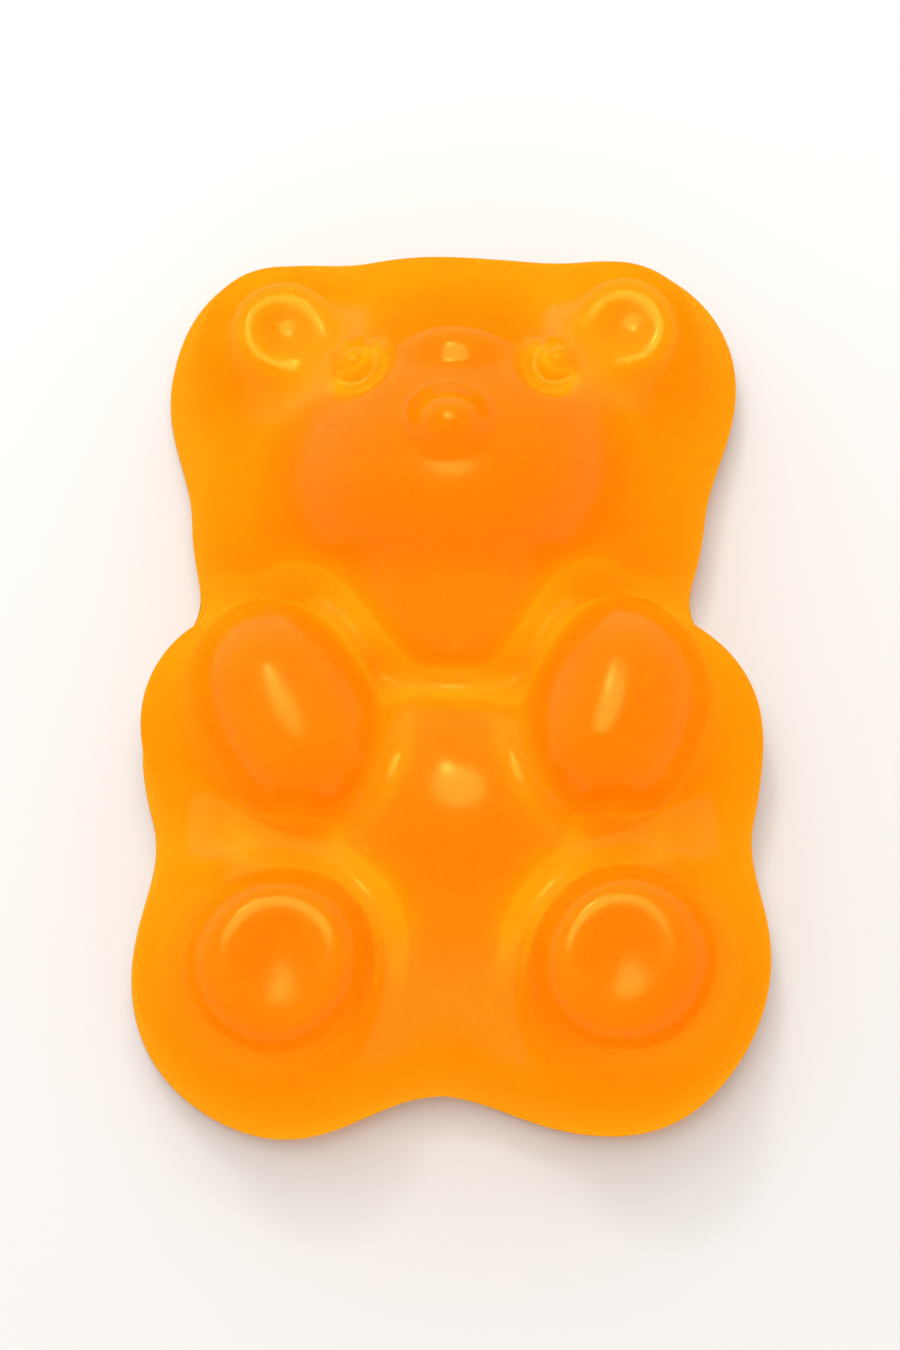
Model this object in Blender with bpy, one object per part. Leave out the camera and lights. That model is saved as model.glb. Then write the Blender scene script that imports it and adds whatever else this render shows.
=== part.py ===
"""One gummy bear: a solid moulded sweet that lies on its flat back, face up.

The head points to +Y, the face and the feet to +Z, and +X is on the right of someone looking down
at the face. The form is a set of rounded lobes blended into each other. A coarse skin over the
lobes is remeshed and its vertices are settled on the blended surface, so every size below drives
the solid.
"""

from __future__ import annotations

from dataclasses import dataclass
from typing import Callable

import bmesh
import bpy
import numpy as np
from mathutils import Matrix

# --- overall sizes, in millimetres -----------------------------------------------------------
LENGTH = 22.0  # ears to feet; the lobes below are drawn about 21 long and scaled to this
BACK_EDGE = 0.5  # rounding where the flat back meets the sides
FOOT_LIP = 0.22  # how far the thin lip round the back stands out
FOOT_LIP_HEIGHT = 0.45
NECK_CREASE = 0.6  # how soft the crease between head and body is
LIMB_CREASE = 0.6
ELBOW_CREASE = 1.0  # between each arm and its paw

# --- blocks under the lobes: height of the upper face and rounding of its rim -----------------
HEAD_BLOCK = (4.6, 3.2)
TRUNK_BLOCK = (4.8, 3.0)
SLAB = (2.6, 2.0)
SLAB_CREASE = 0.8
FOOT_LIP_ROUNDING = 0.3
FOOT_LIP_CREASE = 0.25

# --- how softly the plan outlines run into each other -----------------------------------------
EAR_FLARE = 0.9
SHOULDER_FLARE = 1.0
HIP_FLARE = 1.2
WAIST_FLARE = 2.0

# --- meshing ---------------------------------------------------------------------------------
SKIN_STEPS = (0.4, 0.25, 0.16)  # remesh sizes, coarse to fine
SETTLE_STEPS = 8
MOST_TRIANGLES = 9000
ROUGH_DEPTH = 4.5  # half depth of the balls that start the ears, shoulders and hips
FLAT_WITHIN = 0.02  # points nearer to the back than this are laid on it
MM = 0.001

Points = np.ndarray
Field = Callable[[Points], np.ndarray]


@dataclass(frozen=True)
class Lobe:
    """An ellipsoid that is blended into what is already there.

    Args:
        centre: its middle, in millimetres.
        radii: its half sizes along its own axes.
        blend: how wide the soft crease around it is.
        paired: whether a mirror image stands on the other side.
    """

    centre: tuple[float, float, float]
    radii: tuple[float, float, float]
    blend: float = 0.5
    paired: bool = False


@dataclass(frozen=True)
class Limb:
    """A tapering rod with round ends, from its root to its tip; always one of a pair."""

    root: tuple[float, float, float]
    tip: tuple[float, float, float]
    root_radius: float
    tip_radius: float


# --- the plan outline of the back ------------------------------------------------------------
HEAD_PANEL = ((0.0, 5.85), (5.95, 4.45), 2.8)  # centre, half sizes, corner radius
EAR_ROUND = ((4.15, 7.5), (2.6, 2.85))
TRUNK_PANEL = ((0.0, -3.6), (6.7, 5.8), 3.0)
SHOULDER_ROUND = ((4.7, -1.5), (2.55, 3.0))
HIP_ROUND = ((3.9, -6.65), (3.55, 3.75))

# --- the lobes -------------------------------------------------------------------------------
SKULL = Lobe((0.0, 4.95, 1.5), (5.85, 5.45, 6.0), 1.2)
FACE_LOBES = (
    Lobe((4.0, 7.75, 3.5), (2.1, 2.1, 3.2), 0.9, paired=True),  # ears
    Lobe((0.0, 4.4, 4.3), (4.3, 3.7, 4.2), 0.9),  # muzzle
    Lobe((0.0, 7.05, 6.75), (1.35, 0.8, 1.0), 0.4),  # bridge of the nose
    Lobe((0.0, 1.3, 5.1), (2.5, 1.8, 2.2), 0.9),  # chin
    Lobe((0.0, 5.2, 8.1), (0.9, 0.75, 0.9), 0.35),  # nose
)
EAR_CUP = Lobe((3.95, 7.8, 7.2), (1.2, 1.2, 1.05), 0.5, paired=True)
EYE_SOCKET = Lobe((2.35, 6.85, 7.45), (0.9, 0.9, 0.9), 0.25, paired=True)
EYE_BALL = Lobe((2.35, 6.85, 6.6), (0.45, 0.45, 0.5), 0.2, paired=True)
BELLY = Lobe((0.0, -3.6, 2.4), (4.6, 4.8, 4.5), 0.8)
ARM = Limb((5.0, -0.9, 2.3), (3.8, -1.2, 5.6), 2.35, 1.9)
PAW = Limb((4.0, -0.45, 5.9), (3.45, -1.95, 6.0), 1.9, 1.85)
LEG = Limb((4.3, -6.8, 2.2), (3.9, -6.95, 6.8), 3.0, 2.15)
SOLE = ((3.95, -7.1, 8.55), (0.06, -0.1, 1.0), 0.9)  # point, direction faced, rounding
SOLE_DISH = Lobe((3.8, -7.05, 11.3), (2.9, 3.7, 3.2), 0.4, paired=True)


# --- distance fields -------------------------------------------------------------------------
def join(a: np.ndarray, b: np.ndarray, blend: float) -> np.ndarray:
    """Both shapes, with a soft crease between them."""
    share = np.clip(0.5 + 0.5 * (b - a) / blend, 0, 1)
    return b + (a - b) * share - blend * share * (1 - share)


def meet(a: np.ndarray, b: np.ndarray, blend: float) -> np.ndarray:
    """What two shapes share, with a soft edge."""
    return -join(-a, -b, blend)


def carve(a: np.ndarray, b: np.ndarray, blend: float) -> np.ndarray:
    """The first shape less the second, with a soft edge."""
    return -join(-a, b, blend)


def round_off(q: np.ndarray, radii: tuple[float, ...]) -> np.ndarray:
    """Distance to an ellipse or an ellipsoid about the origin."""
    size = np.array(radii)
    near = np.linalg.norm(q / size, axis=1)
    slope = np.linalg.norm(q / (size * size), axis=1)
    return near * (near - 1.0) / np.maximum(slope, 1e-9)


def lobe_field(p: Points, lobe: Lobe) -> np.ndarray:
    """Distance to a lobe, and to its mirror image when it is paired."""
    q = np.column_stack([np.abs(p[:, 0]), p[:, 1:]]) if lobe.paired else p
    return round_off(q - np.array(lobe.centre), lobe.radii)


def limb_field(p: Points, limb: Limb) -> np.ndarray:
    """Distance to a pair of limbs."""
    q = np.column_stack([np.abs(p[:, 0]), p[:, 1:]])
    root, tip = np.array(limb.root), np.array(limb.tip)
    along = np.clip((q - root) @ (tip - root) / ((tip - root) @ (tip - root)), 0, 1)
    away = np.linalg.norm(q - root - along[:, None] * (tip - root), axis=1)
    return away - limb.root_radius - along * (limb.tip_radius - limb.root_radius)


def panel_field(p: Points, panel: tuple) -> np.ndarray:
    """Plan distance to a rectangle with round corners."""
    centre, half, corner = panel
    q = np.abs(p[:, :2] - np.array(centre)) - (np.array(half) - corner)
    outside = np.hypot(np.maximum(q[:, 0], 0), np.maximum(q[:, 1], 0))
    return outside + np.minimum(q.max(axis=1), 0) - corner


def disc_field(p: Points, disc: tuple) -> np.ndarray:
    """Plan distance to a pair of ellipses."""
    centre, radii = disc
    q = np.column_stack([np.abs(p[:, 0]), p[:, 1]]) - np.array(centre)
    return round_off(q, radii)


def pillow(outline: np.ndarray, height: np.ndarray, top: float, rounding: float) -> np.ndarray:
    """An outline given a thickness, with its upper edge rounded."""
    a = outline + rounding
    b = height - (top - rounding)
    outside = np.hypot(np.maximum(a, 0), np.maximum(b, 0))
    return outside + np.minimum(np.maximum(a, b), 0) - rounding


def bear(p: Points) -> np.ndarray:
    """Distance to the surface of the bear, less than zero inside it."""
    z = p[:, 2]
    head_plan = join(panel_field(p, HEAD_PANEL), disc_field(p, EAR_ROUND), EAR_FLARE)
    trunk_plan = join(panel_field(p, TRUNK_PANEL), disc_field(p, SHOULDER_ROUND), SHOULDER_FLARE)
    trunk_plan = join(trunk_plan, disc_field(p, HIP_ROUND), HIP_FLARE)
    plan = join(head_plan, trunk_plan, WAIST_FLARE)

    head = join(lobe_field(p, SKULL), pillow(head_plan, z, *HEAD_BLOCK), SKULL.blend)
    for lobe in FACE_LOBES:
        head = join(head, lobe_field(p, lobe), lobe.blend)
    head = carve(head, lobe_field(p, EAR_CUP), EAR_CUP.blend)
    head = carve(head, lobe_field(p, EYE_SOCKET), EYE_SOCKET.blend)
    head = join(head, lobe_field(p, EYE_BALL), EYE_BALL.blend)

    body = join(lobe_field(p, BELLY), pillow(trunk_plan, z, *TRUNK_BLOCK), BELLY.blend)
    arms = join(limb_field(p, ARM), limb_field(p, PAW), ELBOW_CREASE)
    body = join(body, arms, LIMB_CREASE)
    point, faced, rounding = SOLE
    faced = np.array(faced) / np.linalg.norm(faced)
    above = (np.column_stack([np.abs(p[:, 0]), p[:, 1:]]) - np.array(point)) @ faced
    legs = meet(limb_field(p, LEG), above, rounding)
    body = join(body, carve(legs, lobe_field(p, SOLE_DISH), SOLE_DISH.blend), LIMB_CREASE)

    whole = join(head, body, NECK_CREASE)
    whole = join(whole, pillow(plan, z, *SLAB), SLAB_CREASE)
    lip = pillow(plan - FOOT_LIP, z, FOOT_LIP_HEIGHT, FOOT_LIP_ROUNDING)
    whole = join(whole, lip, FOOT_LIP_CREASE)
    return meet(whole, -z, BACK_EDGE)


# --- meshing ---------------------------------------------------------------------------------
def settle(field: Field, p: Points, steps: int, most: float = 0.4, reach: float = 0.01) -> Points:
    """Moves points onto a surface.

    Args:
        field: distance to the surface.
        p: the points.
        steps: how many moves each point makes.
        most: longest single move.
        reach: spacing at which the slope is measured.
    Returns:
        The moved points.
    """
    for _ in range(steps):
        here = field(p)
        slope = np.column_stack([(field(p + step) - here) / reach for step in np.eye(3) * reach])
        move = -(here / np.maximum((slope**2).sum(axis=1), 0.05))[:, None] * slope
        length = np.linalg.norm(move, axis=1)
        p = p + move * np.minimum(1, most / np.maximum(length, 1e-9))[:, None]
    return p


def settle_mesh(mesh: bpy.types.Mesh, steps: int) -> None:
    """Moves a mesh's vertices onto the bear."""
    flat = np.empty(len(mesh.vertices) * 3)
    mesh.vertices.foreach_get("co", flat)
    mesh.vertices.foreach_set("co", settle(bear, flat.reshape(-1, 3), steps).ravel())
    mesh.update()


def evaluated_mesh(obj: bpy.types.Object) -> bpy.types.Mesh:
    """The object's mesh with its modifiers applied."""
    graph = bpy.context.evaluated_depsgraph_get()
    return bpy.data.meshes.new_from_object(obj.evaluated_get(graph))


def remesh(obj: bpy.types.Object, size: float) -> None:
    """Gives the object an even skin of quads of this size."""
    modifier = obj.modifiers.new("skin", "REMESH")
    modifier.mode = "VOXEL"
    modifier.voxel_size = size
    obj.data = evaluated_mesh(obj)
    obj.modifiers.remove(modifier)


def rough_skin() -> bpy.types.Mesh:
    """Overlapping balls that roughly fill the bear, cut off flat at the back."""
    balls = [(SKULL.centre, SKULL.radii), (BELLY.centre, BELLY.radii)]
    balls += [(lobe.centre, lobe.radii) for lobe in FACE_LOBES]
    for side in (1, -1):
        for (x, y), (rx, ry) in (EAR_ROUND, SHOULDER_ROUND, HIP_ROUND):
            balls.append(((side * x, y, 0.5), (rx, ry, ROUGH_DEPTH)))
        for lobe in FACE_LOBES:
            if lobe.paired:
                x, y, z = lobe.centre
                balls.append(((side * x, y, z), lobe.radii))
        for limb in (ARM, PAW, LEG):
            x, y, z = limb.tip
            balls.append(((side * x, y, z), (limb.tip_radius,) * 3))
            balls.append(((side * x, y, z - 2.0), (limb.tip_radius,) * 3))
    work = bmesh.new()
    for centre, radii in balls:
        place = Matrix.Translation(centre) @ Matrix.Diagonal((*radii, 1.0))
        bmesh.ops.create_icosphere(work, subdivisions=4, radius=1.0, matrix=place)
    mesh = bpy.data.meshes.new("rough")
    work.to_mesh(mesh)
    work.free()
    return mesh


def cut_back(obj: bpy.types.Object) -> None:
    """Cuts off what lies under the back and closes the hole."""
    work = bmesh.new()
    work.from_mesh(obj.data)
    everything = work.verts[:] + work.edges[:] + work.faces[:]
    bmesh.ops.bisect_plane(
        work, geom=everything, plane_co=(0, 0, -0.05), plane_no=(0, 0, -1), clear_outer=True
    )
    bmesh.ops.holes_fill(work, edges=[edge for edge in work.edges if edge.is_boundary])
    work.to_mesh(obj.data)
    work.free()


def make_bear() -> bpy.types.Object:
    """The bear as one closed mesh in metres."""
    obj = bpy.data.objects.new("gummy_bear", rough_skin())
    bpy.context.scene.collection.objects.link(obj)
    remesh(obj, SKIN_STEPS[0])
    cut_back(obj)
    for size in SKIN_STEPS:
        remesh(obj, size)
        settle_mesh(obj.data, SETTLE_STEPS)
    triangles = 2 * len(obj.data.polygons)
    modifier = obj.modifiers.new("fewer", "DECIMATE")
    modifier.ratio = MOST_TRIANGLES / triangles
    obj.data = evaluated_mesh(obj)
    obj.modifiers.remove(modifier)
    finish_mesh(obj.data)
    return obj


def finish_mesh(mesh: bpy.types.Mesh) -> None:
    """Puts the back on the floor, scales to metres and shades the skin smooth."""
    flat = np.empty(len(mesh.vertices) * 3)
    mesh.vertices.foreach_get("co", flat)
    p = flat.reshape(-1, 3)
    low, high = p.min(axis=0), p.max(axis=0)
    p = p - np.array([(low[0] + high[0]) / 2, (low[1] + high[1]) / 2, low[2]])
    p[p[:, 2] < FLAT_WITHIN, 2] = 0.0
    mesh.vertices.foreach_set("co", (p * MM * LENGTH / (high[1] - low[1])).ravel())
    mesh.shade_smooth()
    mesh.update()


def orange_gum() -> bpy.types.Material:
    """Clear orange gum."""
    material = bpy.data.materials.new("orange_gum")
    material.use_nodes = True
    shader = material.node_tree.nodes["Principled BSDF"]
    shader.inputs["Base Color"].default_value = (1.0, 0.3, 0.01, 1.0)
    shader.inputs["Roughness"].default_value = 0.3
    return material


def main() -> None:
    """Clears the scene and makes the bear."""
    for old in list(bpy.data.objects):
        bpy.data.objects.remove(old)
    bear_object = make_bear()
    bear_object.data.materials.append(orange_gum())


if __name__ == "__main__":
    main()
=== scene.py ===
"""An orange gummy bear lying face up on its flat back, with its finished skin, gum and setting."""

from __future__ import annotations

import logging
import math
from dataclasses import dataclass
from enum import Enum

import bmesh
import bpy
import numpy as np
from mathutils import Matrix, Vector

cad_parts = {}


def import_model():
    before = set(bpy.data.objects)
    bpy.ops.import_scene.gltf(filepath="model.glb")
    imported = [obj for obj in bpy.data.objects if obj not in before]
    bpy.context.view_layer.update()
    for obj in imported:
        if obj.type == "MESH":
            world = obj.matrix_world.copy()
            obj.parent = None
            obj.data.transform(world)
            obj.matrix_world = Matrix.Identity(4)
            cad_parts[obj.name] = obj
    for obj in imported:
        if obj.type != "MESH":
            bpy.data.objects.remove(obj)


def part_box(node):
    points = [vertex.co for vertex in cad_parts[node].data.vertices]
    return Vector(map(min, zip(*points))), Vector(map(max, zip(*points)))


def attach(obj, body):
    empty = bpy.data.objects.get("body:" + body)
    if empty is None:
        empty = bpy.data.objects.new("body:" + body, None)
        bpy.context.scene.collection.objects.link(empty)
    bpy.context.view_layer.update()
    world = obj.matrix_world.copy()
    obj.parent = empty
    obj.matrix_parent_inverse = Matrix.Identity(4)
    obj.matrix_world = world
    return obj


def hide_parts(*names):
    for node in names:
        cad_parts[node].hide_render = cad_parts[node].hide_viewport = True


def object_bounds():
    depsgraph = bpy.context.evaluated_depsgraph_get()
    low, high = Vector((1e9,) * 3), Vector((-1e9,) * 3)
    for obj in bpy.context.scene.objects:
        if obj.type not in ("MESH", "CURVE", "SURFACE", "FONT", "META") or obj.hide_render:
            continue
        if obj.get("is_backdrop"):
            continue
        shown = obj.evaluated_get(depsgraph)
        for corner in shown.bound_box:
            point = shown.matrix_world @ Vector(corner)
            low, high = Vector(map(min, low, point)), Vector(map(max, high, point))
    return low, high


logging.basicConfig(level=logging.INFO, format="%(message)s")
LOG = logging.getLogger("gummy_bear")

Points = np.ndarray
Triple = tuple[float, float, float]
Pair = tuple[float, float]
Colour = tuple[float, float, float, float]

MM = 0.001
TINY = 1e-9
NODE = "gummy_bear"
BODY = "root"


class Crease(Enum):
    """How wide the soft crease between two joined forms is, in drawn millimetres."""

    FINE = 0.2
    CRISP = 0.35
    SOFT = 0.5
    WIDE = 0.9
    FLOWING = 1.2


# --- forms ------------------------------------------------------------------------------------


def join(a: np.ndarray, b: np.ndarray, crease: float) -> np.ndarray:
    """Both forms with a soft crease between them.

    Args:
        a: distances to the first form.
        b: distances to the second form.
        crease: width of the crease.
    Returns:
        Distances to the joined form.
    """
    share = np.clip(0.5 + 0.5 * (b - a) / crease, 0, 1)
    return b + (a - b) * share - crease * share * (1 - share)


def meet(a: np.ndarray, b: np.ndarray, edge: float) -> np.ndarray:
    """What two forms share, with a soft edge."""
    return -join(-a, -b, edge)


def carve(a: np.ndarray, b: np.ndarray, edge: float) -> np.ndarray:
    """The first form less the second, with a soft edge."""
    return -join(-a, b, edge)


def mirrored(p: Points) -> Points:
    """The points folded onto the right-hand side."""
    return np.column_stack([np.abs(p[:, 0]), p[:, 1:]])


def rounded(q: np.ndarray, radii: tuple[float, ...]) -> np.ndarray:
    """Distance to an ellipse or an ellipsoid about the origin."""
    size = np.array(radii)
    near = np.linalg.norm(q / size, axis=1)
    slope = np.linalg.norm(q / (size * size), axis=1)
    return near * (near - 1.0) / np.maximum(slope, TINY)


@dataclass(frozen=True)
class Lobe:
    """An ellipsoid, or a pair of them, blended into what is already there."""

    centre: Triple
    radii: Triple
    crease: Crease = Crease.SOFT
    paired: bool = False

    def distance(self, p: Points) -> np.ndarray:
        """Distances from the points to the lobe."""
        q = mirrored(p) if self.paired else p
        return rounded(q - np.array(self.centre), self.radii)

    def places(self) -> list[Triple]:
        """The centre, or both centres of a pair."""
        x, y, z = self.centre
        return [(x, y, z), (-x, y, z)] if self.paired else [self.centre]


@dataclass(frozen=True)
class Limb:
    """A pair of tapering rods with round ends."""

    root: Triple
    tip: Triple
    root_radius: float
    tip_radius: float

    def distance(self, p: Points) -> np.ndarray:
        """Distances from the points to the nearer limb."""
        q = mirrored(p) - np.array(self.root)
        reach = np.array(self.tip) - np.array(self.root)
        along = np.clip(q @ reach / (reach @ reach), 0, 1)
        away = np.linalg.norm(q - along[:, None] * reach, axis=1)
        return away - self.root_radius - along * (self.tip_radius - self.root_radius)


@dataclass(frozen=True)
class Panel:
    """A plan rectangle with round corners."""

    centre: Pair
    half: Pair
    corner: float

    def distance(self, p: Points) -> np.ndarray:
        """Plan distances from the points to the panel."""
        q = np.abs(p[:, :2] - np.array(self.centre)) - (np.array(self.half) - self.corner)
        outside = np.hypot(np.maximum(q[:, 0], 0), np.maximum(q[:, 1], 0))
        return outside + np.minimum(q.max(axis=1), 0) - self.corner


@dataclass(frozen=True)
class Round:
    """A pair of plan ellipses."""

    centre: Pair
    radii: Pair

    def distance(self, p: Points) -> np.ndarray:
        """Plan distances from the points to the nearer ellipse."""
        return rounded(mirrored(p)[:, :2] - np.array(self.centre), self.radii)


def pillow(plan: np.ndarray, height: np.ndarray, top: float, edge: float) -> np.ndarray:
    """An outline given a thickness.

    Args:
        plan: plan distances to the outline.
        height: heights of the points.
        top: height of the upper face.
        edge: rounding of its rim.
    Returns:
        Distances to the pillow.
    """
    a = plan + edge
    b = height - (top - edge)
    outside = np.hypot(np.maximum(a, 0), np.maximum(b, 0))
    return outside + np.minimum(np.maximum(a, b), 0) - edge


# --- the bear ---------------------------------------------------------------------------------


@dataclass
class Head:
    """The head: skull, round ears with a cup, muzzle, bridge, nose, chin and eyes."""

    panel: Panel = Panel((0.0, 5.85), (5.95, 4.45), 2.8)
    ear_round: Round = Round((4.15, 7.5), (2.6, 2.85))
    skull: Lobe = Lobe((0.0, 4.95, 1.5), (5.85, 5.45, 6.0), Crease.FLOWING)
    ears: Lobe = Lobe((4.0, 7.75, 3.5), (2.1, 2.1, 3.2), Crease.WIDE, paired=True)
    muzzle: Lobe = Lobe((0.0, 4.4, 4.3), (4.3, 3.7, 4.2), Crease.WIDE)
    bridge: Lobe = Lobe((0.0, 7.05, 6.75), (1.35, 0.8, 1.0), Crease.CRISP)
    chin: Lobe = Lobe((0.0, 1.3, 5.1), (2.5, 1.8, 2.2), Crease.WIDE)
    nose: Lobe = Lobe((0.0, 5.2, 8.1), (0.9, 0.75, 0.9), Crease.CRISP)
    ear_cups: Lobe = Lobe((3.95, 7.8, 7.2), (1.2, 1.2, 1.05), Crease.SOFT, paired=True)
    eye_sockets: Lobe = Lobe((2.35, 6.85, 7.45), (0.9, 0.9, 0.9), Crease.FINE, paired=True)
    eye_balls: Lobe = Lobe((2.35, 6.85, 6.6), (0.45, 0.45, 0.5), Crease.FINE, paired=True)
    top: float = 4.6
    rim: float = 3.2

    def plan(self, p: Points) -> np.ndarray:
        """Plan distances to the head's outline."""
        return join(self.panel.distance(p), self.ear_round.distance(p), Crease.WIDE.value)

    def raised(self) -> list[Lobe]:
        """The lobes that stand on the skull, in the order they are joined."""
        return [self.ears, self.muzzle, self.bridge, self.chin, self.nose]

    def distance(self, p: Points) -> np.ndarray:
        """Distances from the points to the head."""
        block = pillow(self.plan(p), p[:, 2], self.top, self.rim)
        form = join(self.skull.distance(p), block, self.skull.crease.value)
        for lobe in self.raised():
            form = join(form, lobe.distance(p), lobe.crease.value)
        for hollow in (self.ear_cups, self.eye_sockets):
            form = carve(form, hollow.distance(p), hollow.crease.value)
        return join(form, self.eye_balls.distance(p), self.eye_balls.crease.value)


@dataclass
class Trunk:
    """The body: belly, shoulders, hips, arms with paws, and legs with flat soles."""

    panel: Panel = Panel((0.0, -3.6), (6.7, 5.8), 3.0)
    shoulders: Round = Round((4.7, -1.5), (2.55, 3.0))
    hips: Round = Round((3.9, -6.65), (3.55, 3.75))
    belly: Lobe = Lobe((0.0, -3.6, 2.4), (4.6, 4.8, 4.5))
    arm: Limb = Limb((5.0, -0.9, 2.3), (3.8, -1.2, 5.6), 2.35, 1.9)
    paw: Limb = Limb((4.0, -0.45, 5.9), (3.45, -1.95, 6.0), 1.9, 1.85)
    leg: Limb = Limb((4.3, -6.8, 2.2), (3.9, -6.95, 6.8), 3.0, 2.15)
    sole_point: Triple = (3.95, -7.1, 8.55)
    sole_faces: Triple = (0.06, -0.1, 1.0)
    sole_edge: float = 0.9
    sole_dish: Lobe = Lobe((3.8, -7.05, 11.3), (2.9, 3.7, 3.2), Crease.CRISP, paired=True)
    limb_crease: float = 0.6
    elbow_crease: float = 1.0
    belly_crease: float = 0.8
    shoulder_flare: float = 1.0
    top: float = 4.8
    rim: float = 3.0

    def plan(self, p: Points) -> np.ndarray:
        """Plan distances to the body's outline."""
        form = join(self.panel.distance(p), self.shoulders.distance(p), self.shoulder_flare)
        return join(form, self.hips.distance(p), Crease.FLOWING.value)

    def distance(self, p: Points) -> np.ndarray:
        """Distances from the points to the body."""
        block = pillow(self.plan(p), p[:, 2], self.top, self.rim)
        form = join(self.belly.distance(p), block, self.belly_crease)
        arms = join(self.arm.distance(p), self.paw.distance(p), self.elbow_crease)
        form = join(form, arms, self.limb_crease)
        return join(form, self.legs(p), self.limb_crease)

    def legs(self, p: Points) -> np.ndarray:
        """Distances from the points to the legs, flat at the sole with a shallow dish in it."""
        faces = np.array(self.sole_faces) / np.linalg.norm(self.sole_faces)
        above = (mirrored(p) - np.array(self.sole_point)) @ faces
        form = meet(self.leg.distance(p), above, self.sole_edge)
        return carve(form, self.sole_dish.distance(p), self.sole_dish.crease.value)


@dataclass(frozen=True)
class DepthAndCreaseHighlightRule:
    """How a point's colour depth, from 0, thin, to 1, thick, follows from the gum around it, with
    creases pushed toward the thin, lighter colour as a painted highlight.
    """

    inward: Triple = (1.0, 2.0, 3.5)
    outward: Triple = (0.4, 0.8, 1.2)
    heights: Pair = (2.0, 9.5)
    height_share: float = 0.6
    # painted highlight: how strongly creases are lifted toward the lighter thin colour
    painted_crease_highlight: float = 2.4
    rounds: int = 160

    def value(self, height: np.ndarray, solid: np.ndarray, open_air: np.ndarray) -> np.ndarray:
        """The depth, with creases lifted toward thin as a painted highlight.

        Args:
            height: heights above the back.
            solid: shares of gum under the points.
            open_air: shares of open air over the points, less than 1 in a crease, where the painted
                highlight goes.
        Returns:
            One depth for each point.
        """
        low, high = self.heights
        tall = np.clip((height - low) / (high - low), 0, 1)
        tall = tall * tall * (3 - 2 * tall)
        mixed = self.height_share * tall + (1 - self.height_share) * solid
        # painted highlight: creases, where open air is short, are pushed toward the thin, lighter
        # colour
        return mixed - self.painted_crease_highlight * (1 - open_air) ** 2


@dataclass(frozen=True)
class Unevenness:
    """Long soft waves that keep one side from being the exact mirror of the other."""

    waves: Pair = (0.5, 1.3)
    shifts: Pair = (0.1, 0.04)
    long_start: Triple = (0.4, 1.7, 2.9)
    short_start: Triple = (2.2, 0.3, 1.1)

    def shift(self, p: Points) -> Points:
        """The points moved by the waves."""
        long_wave = np.sin(p[:, [1, 2, 0]] * self.waves[0] + np.array(self.long_start))
        short_wave = np.sin(p[:, [2, 0, 1]] * self.waves[1] + np.array(self.short_start))
        return p + self.shifts[0] * long_wave + self.shifts[1] * short_wave


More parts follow.
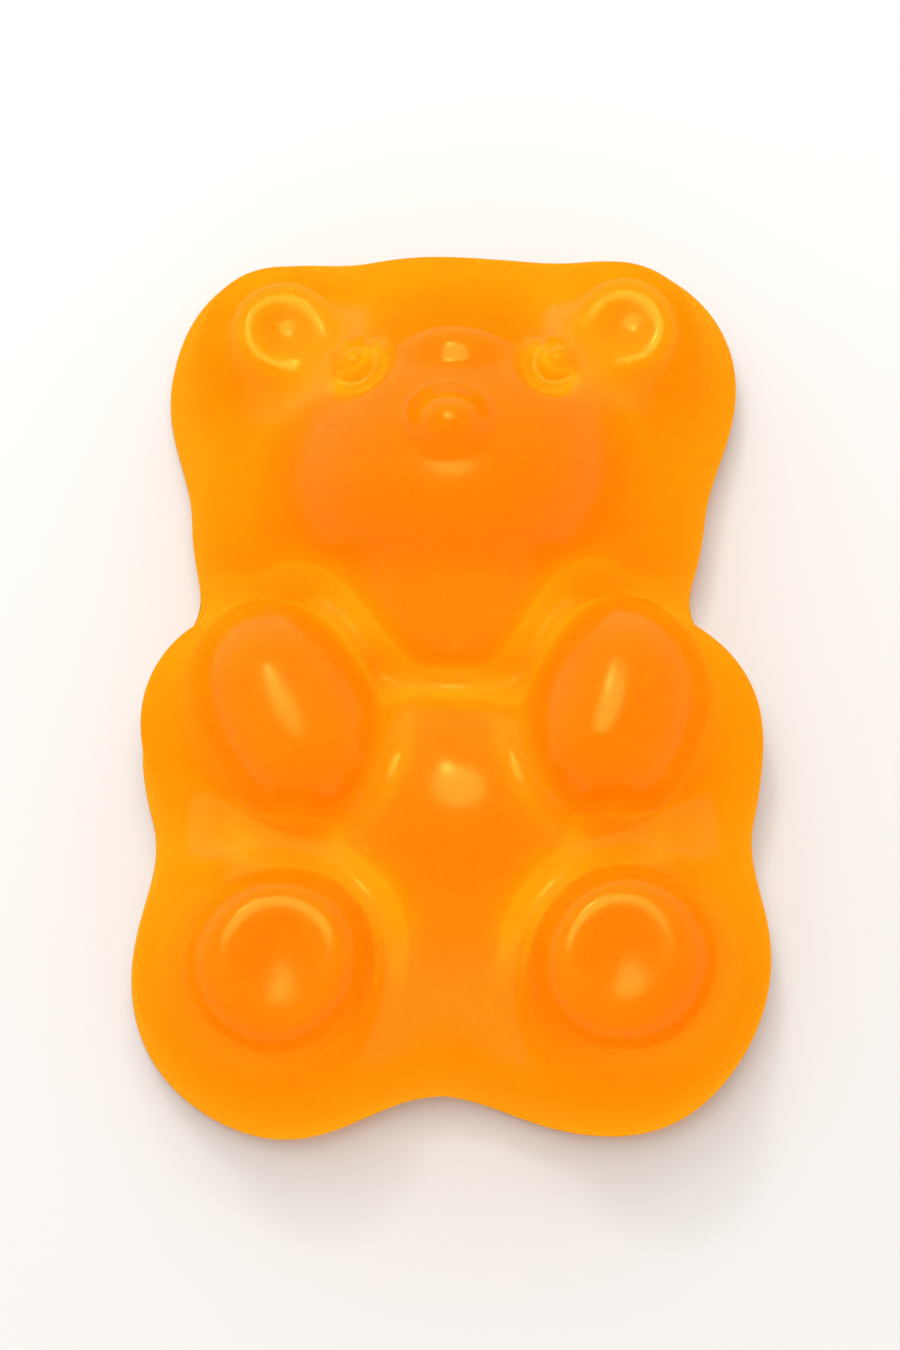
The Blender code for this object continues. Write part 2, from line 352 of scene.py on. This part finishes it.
@dataclass
class GummyBear:
    """The whole sweet, drawn in millimetres and scaled to the box of its solid."""

    head: Head
    trunk: Trunk
    neck_crease: float = 0.6
    waist: float = 2.0
    slab_top: float = 2.6
    slab_rim: float = 2.0
    slab_crease: float = 0.8
    back_edge: float = 0.5
    lip: float = 0.22
    lip_height: float = 0.45
    lip_rim: float = 0.3
    lip_crease: float = 0.25
    unevenness: Unevenness = Unevenness()
    depth_and_highlight_rule: DepthAndCreaseHighlightRule = DepthAndCreaseHighlightRule()
    rough_depth: float = 4.5
    skin_sizes: tuple[float, ...] = (0.4, 0.2, 0.12, 0.085)
    settle_steps: int = 6
    last_settle_steps: int = 3
    least_slope: float = 0.05
    most_triangles: int = 190_000

    def distance(self, p: Points) -> np.ndarray:
        """Distances from the points to the surface, less than zero inside."""
        z = p[:, 2]
        p = self.unevenness.shift(p)
        plan = join(self.head.plan(p), self.trunk.plan(p), self.waist)
        form = join(self.head.distance(p), self.trunk.distance(p), self.neck_crease)
        form = join(form, pillow(plan, z, self.slab_top, self.slab_rim), self.slab_crease)
        lip = pillow(plan - self.lip, z, self.lip_height, self.lip_rim)
        return meet(join(form, lip, self.lip_crease), -z, self.back_edge)

    def slope(self, p: Points, here: np.ndarray, reach: float = 0.01) -> np.ndarray:
        """The direction in which the distance grows, at each point."""
        steps = np.eye(3) * reach
        return np.column_stack([(self.distance(p + step) - here) / reach for step in steps])

    def settle(self, p: Points, steps: int, most: float = 0.4) -> Points:
        """Moves points onto the surface.

        Args:
            p: the points.
            steps: how many moves each makes.
            most: longest single move.
        Returns:
            The moved points.
        """
        for _ in range(steps):
            here = self.distance(p)
            slope = self.slope(p, here)
            steepness = np.maximum((slope**2).sum(axis=1), self.least_slope)
            move = -(here / steepness)[:, None] * slope
            length = np.linalg.norm(move, axis=1)
            p = p + move * np.minimum(1, most / np.maximum(length, TINY))[:, None]
        return p

    def rough_balls(self) -> list[tuple[Triple, Triple]]:
        """Centres and radii of overlapping balls that roughly fill the bear."""
        lobes = [self.head.skull, self.trunk.belly, *self.head.raised()]
        balls = [(place, lobe.radii) for lobe in lobes for place in lobe.places()]
        for side in (1, -1):
            for plan in (self.head.ear_round, self.trunk.shoulders, self.trunk.hips):
                x, y = plan.centre
                balls.append(((side * x, y, 0.5), (*plan.radii, self.rough_depth)))
            for limb in (self.trunk.arm, self.trunk.paw, self.trunk.leg):
                x, y, z = limb.tip
                for drop in (0.0, 2.0):
                    balls.append(((side * x, y, z - drop), (limb.tip_radius,) * 3))
        return balls

    def rough_mesh(self) -> bpy.types.Mesh:
        """The overlapping balls as one mesh."""
        work = bmesh.new()
        for centre, radii in self.rough_balls():
            place = Matrix.Translation(centre) @ Matrix.Diagonal((*radii, 1.0))
            bmesh.ops.create_icosphere(work, subdivisions=4, radius=1.0, matrix=place)
        mesh = bpy.data.meshes.new("gummy_bear_skin")
        work.to_mesh(mesh)
        work.free()
        return mesh

    def build(self) -> bpy.types.Object:
        """Makes the finished skin in its place, in metres."""
        obj = bpy.data.objects.new("gummy_bear_skin", self.rough_mesh())
        bpy.context.scene.collection.objects.link(obj)
        remesh(obj, self.skin_sizes[0])
        cut_back(obj)
        for size in self.skin_sizes:
            remesh(obj, size)
            write_points(obj.data, self.settle(read_points(obj.data), self.settle_steps))
        thin_out(obj, self.most_triangles)
        write_points(obj.data, self.settle(read_points(obj.data), self.last_settle_steps))
        self.store_depth_and_crease_highlight(obj.data)
        self.place(obj.data)
        obj.data.shade_smooth()
        return obj

    def store_depth_and_crease_highlight(self, mesh: bpy.types.Mesh) -> None:
        """Stores how much gum light crosses under each vertex, from 0, thin, to 1, thick, lowered in
        creases as a painted highlight.
        """
        p = read_points(mesh)
        here = self.distance(p)
        normal = self.slope(p, here)
        normal /= np.maximum(np.linalg.norm(normal, axis=1), TINY)[:, None]
        rule = self.depth_and_highlight_rule
        inner = [np.clip(-self.distance(p - normal * d) / d, 0, 1) for d in rule.inward]
        # open air over each point marks the creases that get the painted highlight
        outer = [np.clip(self.distance(p + normal * d) / d, 0, 1) for d in rule.outward]
        solid = soften(mesh, np.mean(inner, axis=0), rule.rounds)
        depth = rule.value(p[:, 2], solid, np.mean(outer, axis=0))
        layer = mesh.attributes.new("gum_depth_and_crease_highlight", "FLOAT", "POINT")
        layer.data.foreach_set("value", depth.astype(np.float32))

    def place(self, mesh: bpy.types.Mesh) -> None:
        """Scales the drawn millimetres to the solid's box."""
        p = read_points(mesh)
        low, high = p.min(axis=0), p.max(axis=0)
        box_low, box_high = (np.array(corner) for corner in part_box(NODE))
        scale = (box_high[1] - box_low[1]) / (high[1] - low[1])
        drawn = np.array([(low[0] + high[0]) / 2, (low[1] + high[1]) / 2, low[2]])
        real = np.array([*(box_low[:2] + box_high[:2]) / 2, box_low[2]])
        write_points(mesh, (p - drawn) * scale + real)


def read_points(mesh: bpy.types.Mesh) -> Points:
    """A mesh's vertices."""
    flat = np.empty(len(mesh.vertices) * 3)
    mesh.vertices.foreach_get("co", flat)
    return flat.reshape(-1, 3)


def write_points(mesh: bpy.types.Mesh, p: Points) -> None:
    """Moves a mesh's vertices."""
    mesh.vertices.foreach_set("co", p.ravel())
    mesh.update()


def soften(mesh: bpy.types.Mesh, values: np.ndarray, rounds: int) -> np.ndarray:
    """Evens out values held at a mesh's vertices.

    Args:
        mesh: the mesh.
        values: one value for each vertex.
        rounds: how many times each vertex is moved halfway to its neighbours' mean.
    Returns:
        The softened values.
    """
    ends = np.empty(len(mesh.edges) * 2, np.int32)
    mesh.edges.foreach_get("vertices", ends)
    start, end = ends.reshape(-1, 2).T
    size = len(mesh.vertices)
    neighbours = np.maximum(np.bincount(ends, minlength=size), 1)
    for _ in range(rounds):
        total = np.bincount(start, values[end], size) + np.bincount(end, values[start], size)
        values = 0.5 * (values + total / neighbours)
    return values


def keep_evaluated(obj: bpy.types.Object) -> None:
    """Applies the object's modifiers to its mesh."""
    graph = bpy.context.evaluated_depsgraph_get()
    mesh = bpy.data.meshes.new_from_object(obj.evaluated_get(graph))
    obj.modifiers.clear()
    obj.data = mesh


def remesh(obj: bpy.types.Object, size: float) -> None:
    """Gives the object one even skin of quads of this size."""
    skin = obj.modifiers.new("skin", "REMESH")
    skin.mode = "VOXEL"
    skin.voxel_size = size
    keep_evaluated(obj)


def thin_out(obj: bpy.types.Object, most: int) -> None:
    """Keeps the skin under this many triangles, with fewest where it is flat."""
    triangles = 2 * len(obj.data.polygons)
    if triangles > most:
        fewer = obj.modifiers.new("fewer", "DECIMATE")
        fewer.ratio = most / triangles
        keep_evaluated(obj)


def cut_back(obj: bpy.types.Object, height: float = -0.05) -> None:
    """Cuts off what lies under this height, just below the back, and closes the hole."""
    work = bmesh.new()
    work.from_mesh(obj.data)
    everything = work.verts[:] + work.edges[:] + work.faces[:]
    bmesh.ops.bisect_plane(
        work, geom=everything, plane_co=(0, 0, height), plane_no=(0, 0, -1), clear_outer=True
    )
    bmesh.ops.holes_fill(work, edges=[edge for edge in work.edges if edge.is_boundary])
    work.to_mesh(obj.data)
    work.free()


# --- finishes ---------------------------------------------------------------------------------


NOISE_SPAN = (0.3, 0.7)


class NodeBench:
    """A material's node tree, with short ways to add and wire its nodes."""

    def __init__(self, name: str) -> None:
        """Starts a material with a Principled shader."""
        self.material = bpy.data.materials.new(name)
        self.material.use_nodes = True
        self.tree = self.material.node_tree
        self.shader = self.tree.nodes["Principled BSDF"]
        self.output = self.tree.nodes["Material Output"]

    def add(self, kind: str, **settings: object) -> bpy.types.Node:
        """Adds a node and sets its properties and inputs.

        Args:
            kind: the node's type name.
            settings: properties, or inputs by name with underscores for spaces.
        Returns:
            The node.
        """
        node = self.tree.nodes.new(kind)
        for name, value in settings.items():
            label = name.replace("_", " ")
            if label in node.inputs:
                node.inputs[label].default_value = value
            else:
                setattr(node, name, value)
        return node

    def wire(self, start: bpy.types.NodeSocket, end: bpy.types.NodeSocket) -> None:
        """Joins two sockets."""
        self.tree.links.new(start, end)

    def noise(
        self, place: bpy.types.NodeSocket, size: float, detail: float
    ) -> bpy.types.NodeSocket:
        """Soft noise.

        Args:
            place: the coordinates it follows.
            size: width of its largest blotches, in metres.
            detail: how many finer layers it has.
        Returns:
            The socket that carries it, mostly inside NOISE_SPAN.
        """
        node = self.add("ShaderNodeTexNoise", Scale=1.0 / size, Detail=detail)
        self.wire(place, node.inputs["Vector"])
        return node.outputs["Fac"]

    def shifted(
        self, base: bpy.types.NodeSocket, noise: bpy.types.NodeSocket, most: float
    ) -> bpy.types.NodeSocket:
        """A value moved up and down by noise.

        Args:
            base: the value.
            noise: noise about 0.5.
            most: how far the noise moves the value at 0 or 1.
        Returns:
            The socket that carries the moved value.
        """
        centred = self.add("ShaderNodeMath", operation="SUBTRACT")
        self.wire(noise, centred.inputs[0])
        centred.inputs[1].default_value = 0.5
        moved = self.add("ShaderNodeMath", operation="MULTIPLY_ADD")
        self.wire(centred.outputs["Value"], moved.inputs[0])
        moved.inputs[1].default_value = 2.0 * most
        self.wire(base, moved.inputs[2])
        return moved.outputs["Value"]

    def ramp(self, stops: list[tuple[float, Colour]]) -> bpy.types.Node:
        """A colour ramp with these stops."""
        node = self.tree.nodes.new("ShaderNodeValToRGB")
        node.color_ramp.interpolation = "EASE"
        elements = node.color_ramp.elements
        while len(elements) < len(stops):
            elements.new(0.5)
        for element, (place, colour) in zip(elements, stops):
            element.position = place
            element.color = colour
        return node


@dataclass(frozen=True)
class GumFinish:
    """Clear orange gum with a faint wax polish: yellow where thin, deep orange where thick, and
    lighter yellow along creases as a painted highlight.
    """

    thin: Colour = (1.0, 0.54, 0.01, 1.0)
    middle: Colour = (1.0, 0.4, 0.003, 1.0)
    thick: Colour = (1.0, 0.25, 0.0005, 1.0)
    scatter: Triple = (5.0, 1.2, 0.2)
    depths: Triple = (0.1, 0.5, 0.9)
    glint: Colour = (1.0, 0.5, 0.08, 1.0)
    clearness: float = 0.7
    roughness: float = 0.2
    smear: float = 0.05
    smear_size: float = 2.6
    cloud: float = 0.05
    cloud_size: float = 3.5
    ripple_size: float = 1.3
    ripple_height: float = 0.012
    ior: float = 1.38
    absorbed: Colour = (1.0, 0.95, 0.25, 1.0)
    absorption: float = 480.0

    def material(self) -> bpy.types.Material:
        """Builds the gum."""
        bench = NodeBench("orange_gum_clear")
        shader = bench.shader
        # this attribute carries the gum's thickness and the painted crease highlight
        depth = bench.add("ShaderNodeAttribute", attribute_name="gum_depth_and_crease_highlight")
        ramp = bench.ramp(list(zip(self.depths, (self.thin, self.middle, self.thick))))
        place = bench.add("ShaderNodeTexCoord").outputs["Object"]
        cloudy = bench.noise(place, self.cloud_size * MM, detail=2.0)
        bench.wire(bench.shifted(depth.outputs["Fac"], cloudy, self.cloud), ramp.inputs["Fac"])
        bench.wire(ramp.outputs["Color"], shader.inputs["Base Color"])
        shader.inputs["Subsurface Weight"].default_value = 1.0
        shader.inputs["Subsurface Radius"].default_value = self.scatter
        shader.inputs["Subsurface Scale"].default_value = MM
        shader.inputs["Transmission Weight"].default_value = self.clearness
        shader.inputs["IOR"].default_value = self.ior
        smeared = bench.add("ShaderNodeMapRange")
        smeared.inputs["From Min"].default_value, smeared.inputs["From Max"].default_value = NOISE_SPAN
        smeared.inputs["To Min"].default_value = self.roughness - self.smear
        smeared.inputs["To Max"].default_value = self.roughness + self.smear
        smears = bench.noise(place, self.smear_size * MM, detail=3.0)
        bench.wire(smears, smeared.inputs["Value"])
        bench.wire(smeared.outputs["Result"], shader.inputs["Roughness"])
        ripple = bench.add("ShaderNodeBump", Strength=1.0, Distance=self.ripple_height * MM)
        waves = bench.noise(place, self.ripple_size * MM, detail=1.0)
        bench.wire(waves, ripple.inputs["Height"])
        bench.wire(ripple.outputs["Normal"], shader.inputs["Normal"])
        shader.inputs["Specular Tint"].default_value = self.glint
        inside = bench.add(
            "ShaderNodeVolumeAbsorption", Color=self.absorbed, Density=self.absorption
        )
        bench.wire(inside.outputs["Volume"], bench.output.inputs["Volume"])
        return bench.material


@dataclass(frozen=True)
class TableFinish:
    """A plain pale table top."""

    colour: Colour = (0.45, 0.448, 0.443, 1.0)
    roughness: float = 0.55

    def material(self) -> bpy.types.Material:
        """Builds the table's paint."""
        bench = NodeBench("pale_table")
        bench.shader.inputs["Base Color"].default_value = self.colour
        bench.shader.inputs["Roughness"].default_value = self.roughness
        return bench.material


# --- setting ----------------------------------------------------------------------------------


@dataclass(frozen=True)
class Softbox:
    """A soft lamp aimed at the bear."""

    name: str
    place: Triple
    size: Pair
    power: float

    def build(self, target: Vector) -> None:
        """Hangs the lamp."""
        lamp = bpy.data.lights.new(self.name, "AREA")
        lamp.shape = "ELLIPSE"
        lamp.size, lamp.size_y = self.size
        lamp.energy = self.power
        obj = bpy.data.objects.new(self.name, lamp)
        bpy.context.scene.collection.objects.link(obj)
        obj.location = self.place
        obj.rotation_euler = (target - Vector(self.place)).to_track_quat("-Z", "Y").to_euler()


@dataclass
class Studio:
    """The table, the lamps, the room's light and the camera."""

    table_size: float = 0.8
    table: TableFinish = TableFinish()
    daylight: Colour = (1.0, 0.985, 0.96, 1.0)
    glow: Colour = (1.0, 0.38, 0.012, 1.0)
    room_light: float = 1.15
    window: Triple = (-0.3, 0.8, 0.45)
    window_span: Pair = (0.2, 1.0)
    window_light: float = 0.9
    ceiling_span: Pair = (0.75, 1.0)
    ceiling_shade: float = 0.35
    horizon_span: Pair = (0.0, 0.15)
    table_gap: float = 0.00003
    lens: float = 100.0
    distance: float = 0.09
    elevation: float = 82.0
    sight: Pair = (0.005, 5.0)
    lamps: tuple[Softbox, ...] = (
        Softbox("overhead", (-0.008, 0.035, 0.145), (0.075, 0.065), 0.15),
        Softbox("accent", (-0.02, 0.06, 0.13), (0.014, 0.014), 0.03),
    )

    def build(self, low: Vector, high: Vector) -> None:
        """Sets everything up round the bear's box."""
        centre = (low + high) / 2
        self.lay_table(low.z - self.table_gap)
        for lamp in self.lamps:
            lamp.build(centre)
        self.light_room()
        self.set_camera(centre)
        bpy.context.scene.view_settings.view_transform = "Standard"

    def lay_table(self, height: float) -> None:
        """Lays the table top."""
        work = bmesh.new()
        bmesh.ops.create_grid(work, x_segments=1, y_segments=1, size=self.table_size / 2)
        bmesh.ops.translate(work, verts=work.verts, vec=(0, 0, height))
        mesh = bpy.data.meshes.new("table_top")
        work.to_mesh(mesh)
        work.free()
        mesh.materials.append(self.table.material())
        obj = bpy.data.objects.new("table_top", mesh)
        bpy.context.scene.collection.objects.link(obj)
        obj.visible_glossy = False
        obj.visible_transmission = False
        obj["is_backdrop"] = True

    def light_room(self) -> None:
        """Fills the room: even light, a window, a dimmer ceiling and a warm glow from below."""
        world = bpy.data.worlds.new("room")
        world.use_nodes = True
        tree = world.node_tree
        sky = tree.nodes["Background"]
        aim = tree.nodes.new("ShaderNodeTexCoord").outputs["Generated"]
        window = self.gradient(tree, aim, self.window, self.window_span, (0.0, self.window_light))
        overhead = (self.room_light, self.room_light - self.ceiling_shade)
        ceiling = self.gradient(tree, aim, (0, 0, 1), self.ceiling_span, overhead)
        total = tree.nodes.new("ShaderNodeMath")
        tree.links.new(window, total.inputs[0])
        tree.links.new(ceiling, total.inputs[1])
        tree.links.new(total.outputs["Value"], sky.inputs["Strength"])
        below = self.gradient(tree, aim, (0, 0, -1), self.horizon_span, (0.0, 1.0))
        mix = tree.nodes.new("ShaderNodeMix")
        mix.data_type = "RGBA"
        tree.links.new(below, mix.inputs["Factor"])
        mix.inputs["A"].default_value = self.daylight
        mix.inputs["B"].default_value = self.glow
        tree.links.new(mix.outputs["Result"], sky.inputs["Color"])
        bpy.context.scene.world = world

    @staticmethod
    def gradient(
        tree: bpy.types.NodeTree,
        aim: bpy.types.NodeSocket,
        toward: Triple,
        span: Pair,
        values: Pair,
    ) -> bpy.types.NodeSocket:
        """A smooth change of value with direction.

        Args:
            tree: the room's node tree.
            aim: the direction looked in.
            toward: the direction in which the value changes.
            span: cosines to that direction between which it changes.
            values: the values at either end.
        Returns:
            The socket that carries the value.
        """
        facing = tree.nodes.new("ShaderNodeVectorMath")
        facing.operation = "DOT_PRODUCT"
        tree.links.new(aim, facing.inputs[0])
        facing.inputs[1].default_value = Vector(toward).normalized()
        glow = tree.nodes.new("ShaderNodeMapRange")
        glow.interpolation_type = "SMOOTHSTEP"
        glow.inputs["From Min"].default_value, glow.inputs["From Max"].default_value = span
        glow.inputs["To Min"].default_value, glow.inputs["To Max"].default_value = values
        tree.links.new(facing.outputs["Value"], glow.inputs["Value"])
        return glow.outputs["Result"]

    def set_camera(self, centre: Vector) -> None:
        """Looks down on the face, a little from the feet."""
        data = bpy.data.cameras.new("camera")
        data.lens = self.lens
        data.clip_start, data.clip_end = self.sight
        obj = bpy.data.objects.new("camera", data)
        angle = math.radians(self.elevation)
        back = Vector((0.0, -math.cos(angle), math.sin(angle)))
        obj.location = centre + back * self.distance
        obj.rotation_euler = (math.pi / 2 - angle, 0.0, 0.0)
        bpy.context.scene.collection.objects.link(obj)
        bpy.context.scene.camera = obj


def main() -> None:
    """Loads the frame and builds the bear and its setting."""
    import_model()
    cad_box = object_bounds()
    bear = GummyBear(Head(), Trunk()).build()
    bear.data.materials.clear()
    bear.data.materials.append(GumFinish().material())
    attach(bear, BODY)
    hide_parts(NODE)
    LOG.info("%s: %d faces", bear.name, len(bear.data.polygons))
    Studio().build(Vector(cad_box[0]), Vector(cad_box[1]))
    LOG.info("studio ready")


if __name__ == "__main__":
    main()
